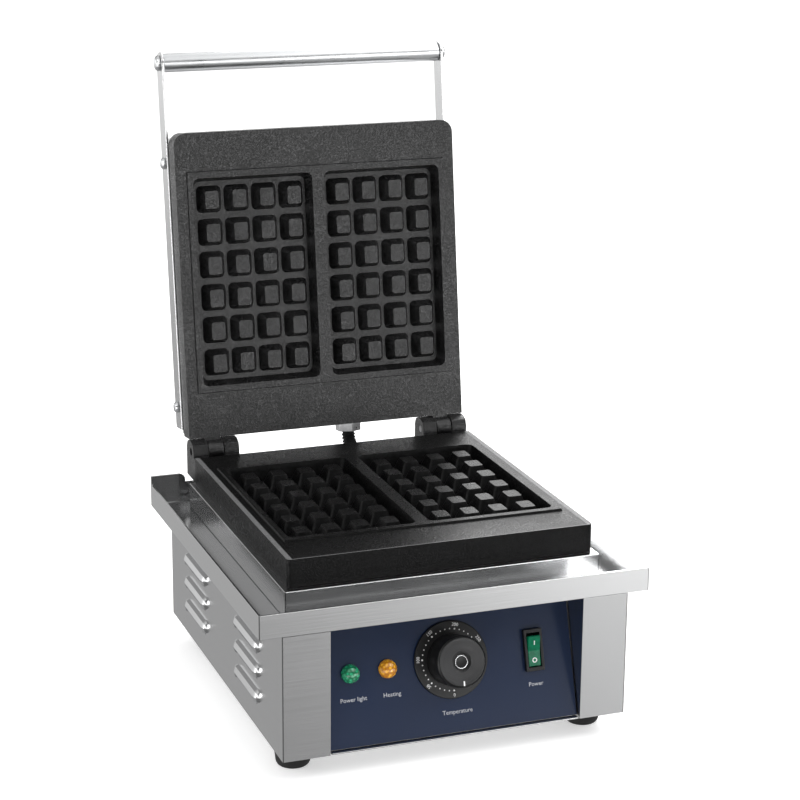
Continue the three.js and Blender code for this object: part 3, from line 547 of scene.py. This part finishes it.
def piece(name, mesh_builder, matrix, material, body, *replaced, smooth=40):
    """Object from a bmesh in millimetres, placed by matrix, riding on a body."""
    mesh = bpy.data.meshes.new(name)
    bm = bmesh.new()
    mesh_builder(bm)
    bmesh.ops.recalc_face_normals(bm, faces=bm.faces)
    bm.transform(matrix)
    bm.to_mesh(mesh)
    bm.free()
    mesh.materials.append(material)
    mesh.shade_smooth()
    mesh.set_sharp_from_angle(angle=math.radians(smooth))
    made = bpy.data.objects.new(name, mesh)
    bpy.context.scene.collection.objects.link(made)
    if body:
        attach(made, body)
    if replaced:
        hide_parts(*replaced)
    return made


def turned(profile, steps=72, closed=False):
    """Builder of a turned shape from [radius, height] pairs round local +Z."""
    def build(bm):
        rings = []
        for radius, height in profile:
            if radius == 0:
                rings.append([bm.verts.new((0, 0, height))])
                continue
            angles = [2 * math.pi * i / steps for i in range(steps)]
            rings.append([bm.verts.new((radius * math.cos(a), radius * math.sin(a), height))
                          for a in angles])
        pairs = list(zip(rings, rings[1:]))
        if closed:
            pairs.append((rings[-1], rings[0]))
        for low, high in pairs:
            for i in range(steps):
                k = (i + 1) % steps
                corners = [low[i % len(low)], low[k % len(low)],
                           high[k % len(high)], high[i % len(high)]]
                unique = list(dict.fromkeys(corners))
                if len(unique) > 2:
                    bm.faces.new(unique)
    return build


def rounded(profile, radius, steps=4):
    """The same outline of pairs with its inner corners turned into small arcs."""
    points = [profile[0]]
    for before, corner, after in zip(profile, profile[1:], profile[2:]):
        here = Vector(corner)
        back = Vector(before) - here
        on = Vector(after) - here
        reach = min(radius, back.length * 0.45, on.length * 0.45)
        start = here + back.normalized() * reach
        end = here + on.normalized() * reach
        for i in range(steps + 1):
            t = i / steps
            points.append(tuple(start * (1 - t) ** 2 + here * 2 * t * (1 - t) + end * t ** 2))
    points.append(profile[-1])
    return points


def towards_user(x, z):
    """Frame on the panel at (x, z), its +Z pointing out of the panel."""
    return panel_frame() @ Matrix.Translation((x, 0, z)) @ Matrix.Rotation(math.pi / 2, 4, "X")


def lettering(name, text, size, matrix, material, body):
    """Flat printed characters as a thin mesh, centred on the matrix's origin."""
    curve = bpy.data.curves.new(name, "FONT")
    curve.body = text
    curve.size = size
    curve.align_x = "CENTER"
    curve.align_y = "CENTER"
    curve.extrude = PRINT_HEIGHT / 2
    curve.resolution_u = 3
    typed = bpy.data.objects.new(name, curve)
    bpy.context.scene.collection.objects.link(typed)
    bpy.context.view_layer.update()
    mesh = bpy.data.meshes.new_from_object(typed)
    bpy.data.objects.remove(typed)
    mesh.transform(matrix)
    mesh.materials.clear()
    mesh.materials.append(material)
    made = bpy.data.objects.new(name, mesh)
    bpy.context.scene.collection.objects.link(made)
    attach(made, body)


def dial_marks(material):
    """Dots round the scale and the numbers outside them, clockwise from the bottom."""
    face = towards_user(DIAL_X, DIAL_Z) @ Matrix.Translation((0, 0, DIAL_FACE))
    steps = (len(DIAL_NUMBERS) - 1) * DOTS_PER_NUMBER
    angles = [-math.pi / 2 - DIAL_SWEEP * i / steps for i in range(steps + 1)]

    def spot(radius, angle):
        across, up = radius * math.cos(angle), radius * math.sin(angle)
        return Matrix.Translation((across, up, PRINT_HEIGHT / 2))

    def dots(bm):
        for i, angle in enumerate(angles):
            radius = LARGE_DOT if i % DOTS_PER_NUMBER == 0 else SMALL_DOT
            bmesh.ops.create_cone(bm, cap_ends=True, segments=12, radius1=radius,
                                  radius2=radius * 0.9, depth=DOT_HEIGHT,
                                  matrix=spot(DOT_CIRCLE, angle))
    piece("dial_dots", dots, face, material, "base")
    for number, angle in zip(DIAL_NUMBERS, angles[::DOTS_PER_NUMBER]):
        outward = Matrix.Rotation(angle - math.pi / 2, 4, "Z")
        place = face @ spot(NUMBER_CIRCLE, angle) @ outward
        lettering(f"dial_number_{number}", str(number), NUMBER_SIZE, place, material, "base")


def captions(material):
    """Plain words for what each lamp and control does."""
    for name, text, x, z in CAPTIONS:
        lettering(f"caption_{name}", text, CAPTION_SIZE, towards_user(x, z), material, "base")


def dial(black, marks):
    """Flat disc behind the knob, with its printed scale."""
    outline = rounded([(DIAL_BORE, DIAL_BACK), (DIAL_RADIUS, DIAL_BACK), (DIAL_RADIUS, DIAL_FACE),
                       (DIAL_BORE, DIAL_FACE), (DIAL_BORE, DIAL_BACK)], 0.6)
    piece("dial_disc", turned(outline, 96), towards_user(DIAL_X, DIAL_Z), black, "base",
          "dial_scale_ring")
    dial_marks(marks)


def knob(skirt, cap, marks, metal):
    """Turned knob: smooth skirt, circular-brushed cap with a dished middle and a thin ring."""
    place = towards_user(DIAL_X, DIAL_Z)
    side = rounded([(KNOB_BORE, KNOB_BASE), (KNOB_RADIUS - 0.6, KNOB_BASE),
                    (KNOB_RADIUS, KNOB_BASE + 3), (KNOB_RADIUS, KNOB_TOP - 1.6),
                    (KNOB_CAP_RADIUS + 0.2, KNOB_TOP - 0.15), (KNOB_CAP_RADIUS, KNOB_TOP - 0.9),
                    (KNOB_DISH - 1, KNOB_TOP - 0.9)], 0.8)
    body = piece("knob_skirt", turned(side, 96), place, skirt, "knob", "thermostat_knob")
    face = rounded([(KNOB_DISH - 0.6, KNOB_TOP - 3.2), (KNOB_DISH - 0.6, KNOB_TOP - 0.4),
                    (KNOB_DISH + 0.2, KNOB_TOP), (KNOB_CAP_RADIUS, KNOB_TOP),
                    (KNOB_CAP_RADIUS, KNOB_TOP - 0.8)], 0.35)
    piece("knob_cap", turned(face, 96), place, cap, "knob", "thermostat_knob")
    hollow = [(0, KNOB_TOP - 2.4), (4.6, KNOB_TOP - 2.4), (KNOB_DISH - 0.5, KNOB_TOP - 1.5)]
    piece("knob_dish", turned(hollow, 64), place, skirt, "knob", "thermostat_knob")
    inner, outer = KNOB_RING
    low, high = KNOB_TOP - 2.6, KNOB_TOP - 1.9
    ring = rounded([(inner, low), (inner, high), (outer, high), (outer, low)], 0.15)
    piece("knob_ring", turned(ring, 64), place, metal, "knob", "thermostat_knob")

    def pointer(bm):
        middle = Matrix.Translation((0, POINTER_INSET - KNOB_RADIUS, KNOB_TOP - 0.1))
        bmesh.ops.create_cube(bm, size=1, matrix=middle @ Matrix.Diagonal((*POINTER, 1)))
        bmesh.ops.bevel(bm, geom=bm.edges[:], offset=0.18, segments=2, affect="EDGES")
    piece("knob_mark", pointer, place, marks, "knob", "knob_pointer")


def lamp(name, x, material):
    """Domed lens pressed with rows of small facets, each row turned half a step."""
    def build(bm):
        rings = []
        for k, (radius, height) in enumerate(LAMP_ROWS):
            lead = 0.5 * (k % 2)
            angles = [2 * math.pi * (i + lead) / LAMP_FACETS for i in range(LAMP_FACETS)]
            rings.append([bm.verts.new((radius * math.cos(a), radius * math.sin(a), height))
                          for a in angles])
        for k, (low, high) in enumerate(zip(rings, rings[1:])):
            for i in range(LAMP_FACETS):
                n = (i + 1) % LAMP_FACETS
                if k % 2 == 0:
                    bm.faces.new((low[i], low[n], high[i]))
                    bm.faces.new((low[n], high[n], high[i]))
                else:
                    bm.faces.new((low[i], high[n], high[i]))
                    bm.faces.new((low[i], low[n], high[n]))
        tip = bm.verts.new((0, 0, LAMP_TIP))
        for a, b in zip(rings[-1], rings[-1][1:] + rings[-1][:1]):
            bm.faces.new((a, b, tip))
        bm.faces.new(list(reversed(rings[0])))
    made = piece(f"{name}_lens", build, towards_user(x, LAMP_Z), material, "base",
                 f"{name}_lamp_lens", smooth=8)
    edges = made.modifiers.new("edges", "BEVEL")
    edges.width = 0.12 * MM
    edges.segments = 2


def switch_marks(material):
    """Bar and ring printed on the two halves of the rocker."""
    rocker = panel_frame() @ Matrix.Translation((SWITCH_X, ROCKER_PIVOT_Y, SWITCH_Z))
    rocker = rocker @ Matrix.Rotation(ROCKER_TILT, 4, "X")
    upright = math.pi / 2
    upper = (rocker @ Matrix.Translation(BAR_PLACE)
             @ Matrix.Rotation(upright + ROCKER_SLOPE, 4, "X"))
    lower = (rocker @ Matrix.Translation(RING_PLACE)
             @ Matrix.Rotation(upright - ROCKER_SLOPE, 4, "X"))

    def bar(bm):
        bmesh.ops.create_cube(bm, size=1, matrix=Matrix.Diagonal((*ROCKER_BAR, 1)))
        bmesh.ops.bevel(bm, geom=bm.edges[:], offset=0.05, segments=1, affect="EDGES")
    piece("rocker_bar", bar, upper, material, "rocker")
    inner, outer = ROCKER_RING
    half = ROCKER_BAR[2] / 2
    circle = rounded([(inner, -half), (outer, -half), (outer, half), (inner, half),
                      (inner, -half)], 0.05)
    piece("rocker_ring", turned(circle, 32), lower, material, "rocker")


def handle_tube(material):
    """Hollow tube between the handle arms, its ends a little rounded."""
    place = (lid_frame() @ Matrix.Translation((0, ARM_Y, TUBE_Z))
             @ Matrix.Rotation(math.pi / 2, 4, "Y"))
    near_end = TUBE_END - 0.6
    lip = TUBE_RADIUS - 0.5
    outline = rounded([(TUBE_BORE, -TUBE_END), (lip, -TUBE_END), (TUBE_RADIUS, -near_end),
                       (TUBE_RADIUS, near_end), (lip, TUBE_END), (TUBE_BORE, TUBE_END)], 0.4)
    piece("tube", turned(outline, 64, closed=True), place, material, "lid", "handle_tube")


def foot(name, place, material):
    """Tapered rubber foot with a rounded tread and a shallow well for its screw."""
    ground = -FOOT_HEIGHT
    outline = rounded([(FOOT_BORE, ground + 6), (FOOT_WELL, ground + 6), (FOOT_WELL, ground + 1),
                       (FOOT_WELL + 1.4, ground), (FOOT_TIP_RADIUS - 1.5, ground),
                       (FOOT_TIP_RADIUS + 0.2, ground + 2.5), (FOOT_RADIUS, FOOT_TOP),
                       (FOOT_BORE, FOOT_TOP)], 1.6, 5)
    piece(f"rubber_foot_{name}", turned(outline, 64, closed=True),
          base_frame() @ Matrix.Translation((*place, 0)), material, "base", f"foot_{name}")


def conduit(material):
    """Ribbed flexible conduit along the same curve as the CAD tube."""
    lean = Matrix.Rotation(-LID_LEAN, 4, "X")
    start = Vector(CONDUIT_START)
    end = Vector((0, HINGE_Y, HINGE_Z)) + lean @ Vector(CONDUIT_END_IN_LID)
    control = [start, start + Vector((0, 0, CONDUIT_RISE)),
               end + lean @ Vector((0, 0, -CONDUIT_DROP)), end]
    steps = 180
    path = []
    for i in range(steps + 1):
        t = i / steps
        weights = ((1 - t) ** 3, 3 * t * (1 - t) ** 2, 3 * t * t * (1 - t), t ** 3)
        path.append(sum((p * w for p, w in zip(control, weights)), Vector()))
    length = sum((b - a).length for a, b in zip(path, path[1:]))
    ribs = round(length / RIB_PITCH)
    sides = 32
    angles = [2 * math.pi * k / sides for k in range(sides)]
    across = Vector((1, 0, 0))

    def build(bm):
        rings = []
        for i, point in enumerate(path):
            ahead = path[min(i + 1, steps)] - path[max(i - 1, 0)]
            over = ahead.normalized().cross(across)
            radius = CONDUIT_RADIUS + CONDUIT_RIB * math.cos(2 * math.pi * ribs * i / steps)
            rings.append([bm.verts.new(point + (across * math.cos(a) + over * math.sin(a)) * radius)
                          for a in angles])
        for low, high in zip(rings, rings[1:]):
            for k in range(sides):
                n = (k + 1) % sides
                bm.faces.new((low[k], low[n], high[n], high[k]))
        bm.faces.new(rings[0])
        bm.faces.new(rings[-1])
    made = piece("ribbed_conduit", build, base_frame(), material, None)
    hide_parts("lid_conduit")
    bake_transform(made)


# --- the scene --------------------------------------------------------------

def paint_steel():
    """Stainless, plated and oxidised steel nodes."""
    paint_nodes(BODY_NODES, brushed_sheet("body_sheet", BODY_STEEL, 0.19, BODY_CORNER))
    tray_sheet = brushed_sheet("tray_sheet", TRAY_STEEL, 0.14, TRAY_CORNER)
    paint_nodes(["drip_tray", "lid_cover"], tray_sheet)
    paint_nodes(["plate_box"], brushed_sheet("box_sheet", TRAY_STEEL, 0.14, BOX_CORNER))
    paint_nodes(ARMS, polished_steel("arm_bar", (0.74, 0.743, 0.747), 0.22))
    paint_nodes(GLANDS, dull_steel("zinc_plated", (0.72, 0.72, 0.73), 0.3))
    plated = dull_steel("plated_steel", (0.42, 0.42, 0.43), 0.38)
    paint_nodes(ARM_SPACERS + FOOT_SCREWS + PINS, plated)
    sheath = dull_steel("rod_sheath", (0.16, 0.16, 0.17), 0.5)
    paint_nodes(["lower_heating_rod", "upper_heating_rod", "thermostat_body"], sheath)


def paint_castings():
    """Waffle plates and hinge brackets; the lower plate's iron is painted darker and is less
    specular, and its rims carry a painted highlight.
    """
    # The lower plate's dimmer speckle is painted shade, darkening the whole lower plate.
    paint_nodes(["lower_plate"], cast_iron("cast_iron_darkened", 0.14, 3.5, LOWER_RIMS))
    paint_nodes(["upper_plate"] + BRACKETS, cast_iron("cast_iron_seasoned", 0.48, 11.0))


def soften_edges():
    """Small rounded edges, each kind of piece with its own width, steps and angle limit."""
    soften(["lower_plate", "upper_plate"], 0.6, 2, 40)
    soften(BRACKETS, 0.8, 2)
    soften(["lid_cover"], 1.0, 3)
    soften(["drip_tray", "plate_box"], 0.5, 2)
    soften(BODY_NODES, 0.6, 3)
    soften(ARMS, 0.35, 2)
    soften(HANDLE_BOLTS, 0.5, 3, 20)
    soften(LID_SCREWS, 0.3, 3, 20)
    soften(GLANDS, 0.5, 2)
    soften(ARM_SPACERS + FOOT_SCREWS, 0.3)
    soften(PINS, 0.4)
    soften(["control_panel", "switch_housing", "cord_inlet", "power_rocker"], 0.4, 3)
    soften(["terminal_block", "thermostat_body"], 0.6)
    soften(PADS, 2.0)


def control_pieces(black, bright):
    """Dial, knob, lamps and switch marks, and the panel's printed words."""
    ink = moulded_plastic("white_print", (0.80, 0.80, 0.80), 0.5, INK_GRAIN)
    dial(black, ink)
    knob(black, brushed_knob(), ink, bright)
    green = lens("green_lens_prisms", (0.002, 0.09, 0.035), (0.03, 0.42, 0.20))
    amber = lens("amber_lens_prisms", (0.34, 0.11, 0.004), (0.88, 0.45, 0.03))
    lamp("power", LAMP_X["power"], green)
    lamp("heating", LAMP_X["heating"], amber)
    switch_marks(ink)
    captions(moulded_plastic("pale_print", (0.52, 0.53, 0.56), 0.5, INK_GRAIN))


def dress_object():
    """Materials and soft edges on the CAD nodes, then the finer pieces that replace some."""
    bright = polished_steel("polished_steel", (0.80, 0.81, 0.82), 0.14)
    satin = polished_steel("satin_tube", (0.74, 0.75, 0.76), 0.3)
    black = moulded_plastic("black_moulding", BLACK, 0.36)
    white = moulded_plastic("white_moulding", WHITE, 0.45)
    paint_steel()
    paint_castings()
    paint_nodes(HANDLE_BOLTS + LID_SCREWS, bright)
    paint_nodes(["handle_tube"], satin)
    paint_nodes(["control_panel"], panel_paint())
    paint_nodes(["switch_housing", "cord_inlet", "dial_scale_ring", "thermostat_knob"], black)
    paint_nodes(["power_lamp_body", "heating_lamp_body", "terminal_block", "knob_pointer"], white)
    paint_nodes(["power_rocker"], clear_green())
    paint_nodes(PADS, wool())
    soften_edges()

    control_pieces(black, bright)
    handle_tube(satin)
    tread = rubber("foot_tread", (0.012, 0.012, 0.012))
    for end, (x, y) in (("front", FRONT_FOOT), ("rear", REAR_FOOT)):
        foot(f"{end}_left", (-x, y), tread)
        foot(f"{end}_right", (x, y), tread)
    conduit(rubber("conduit_skin", (0.014, 0.014, 0.015)))


def floor():
    """Wide plain pale floor; mirrors see the studio surround in its place."""
    mesh = bpy.data.meshes.new("floor")
    half = FLOOR_HALF
    mesh.from_pydata([(-half, -half, 0), (half, -half, 0), (half, half, 0), (-half, half, 0)],
                     [], [(0, 1, 2, 3)])
    made = bpy.data.objects.new("floor", mesh)
    bpy.context.scene.collection.objects.link(made)
    made.visible_glossy = False
    pale = Finish("floor_pale", (0.93, 0.93, 0.93), 0.9)
    pale.set("Specular IOR Level", 0.0)
    pale.set("Emission Color", (1, 1, 1, 1))
    pale.set("Emission Strength", 0.5)
    mesh.materials.append(pale.material)


def softbox(name, place, target, size, watts):
    """Rectangular area light that points at a target."""
    data = bpy.data.lights.new(name, "AREA")
    data.shape = "RECTANGLE"
    data.size, data.size_y = size
    data.energy = watts
    light = bpy.data.objects.new(name, data)
    light.location = place
    direction = Vector(target) - Vector(place)
    light.rotation_euler = direction.to_track_quat("-Z", "Y").to_euler()
    bpy.context.scene.collection.objects.link(light)


def graded(tree, source, stops):
    """Grey that follows a direction's component, from (component, grey) pairs from -1 to 1."""
    scaled = tree.nodes.new("ShaderNodeMapRange")
    scaled.inputs["From Min"].default_value = -1
    tree.links.new(source, scaled.inputs["Value"])
    ramp = tree.nodes.new("ShaderNodeValToRGB")
    tree.links.new(scaled.outputs["Result"], ramp.inputs["Fac"])
    elements = ramp.color_ramp.elements
    for stop, (_, grey) in ((elements[0], stops[0]), (elements[1], stops[-1])):
        stop.color = (grey, grey, grey, 1)
    for component, grey in stops[1:-1]:
        elements.new((component + 1) / 2).color = (grey, grey, grey, 1)
    return ramp.outputs["Color"]


def studio():
    """Soft surround with a dark band above the user's side, and three soft boxes."""
    world = bpy.data.worlds.new("studio")
    bpy.context.scene.world = world
    world.use_nodes = True
    tree = world.node_tree
    direction = tree.nodes.new("ShaderNodeTexCoord")
    split = tree.nodes.new("ShaderNodeSeparateXYZ")
    tree.links.new(direction.outputs["Generated"], split.inputs["Vector"])
    behind = tree.nodes.new("ShaderNodeMapRange")
    behind.inputs["From Min"].default_value = -SURROUND_BLEND
    behind.inputs["From Max"].default_value = SURROUND_BLEND
    tree.links.new(split.outputs["Y"], behind.inputs["Value"])
    blend = tree.nodes.new("ShaderNodeMix")
    blend.data_type = "RGBA"
    tree.links.new(behind.outputs["Result"], blend.inputs["Factor"])
    tree.links.new(graded(tree, split.outputs["Z"], SURROUND_FRONT), blend.inputs[MIX_A])
    tree.links.new(graded(tree, split.outputs["Z"], SURROUND_BACK), blend.inputs[MIX_B])
    strength = tree.nodes.new("ShaderNodeMath")
    strength.operation = "MULTIPLY"
    strength.inputs[1].default_value = SURROUND_STRENGTH
    tree.links.new(graded(tree, split.outputs["X"], SURROUND_ACROSS), strength.inputs[0])
    background = tree.nodes["Background"]
    tree.links.new(blend.outputs[MIX_RESULT], background.inputs["Color"])
    tree.links.new(strength.outputs["Value"], background.inputs["Strength"])
    for name, (place, target, size, watts) in SOFTBOXES.items():
        softbox(name, place, target, size, watts)
    bpy.context.scene.view_settings.view_transform = "Standard"


def camera():
    """Camera in front of the object, a little to its left and above, and very slightly rolled."""
    azimuth, elevation = CAMERA_AZIMUTH, CAMERA_ELEVATION
    back = Vector((math.sin(azimuth) * math.cos(elevation),
                   -math.cos(azimuth) * math.cos(elevation), math.sin(elevation)))
    right = Vector((math.cos(azimuth), math.sin(azimuth), 0))
    up = back.cross(right)
    turned_right = right * math.cos(CAMERA_ROLL) + up * math.sin(CAMERA_ROLL)
    turned_up = up * math.cos(CAMERA_ROLL) - right * math.sin(CAMERA_ROLL)
    data = bpy.data.cameras.new("camera")
    data.lens = LENS
    data.sensor_width = SENSOR_WIDTH
    made = bpy.data.objects.new("camera", data)
    rotation = Matrix((turned_right, turned_up, back)).transposed()
    made.matrix_world = Matrix.Translation(CAMERA_PLACE) @ rotation.to_4x4()
    bpy.context.scene.collection.objects.link(made)
    bpy.context.scene.camera = made


camera()
dress_object()
floor()
studio()
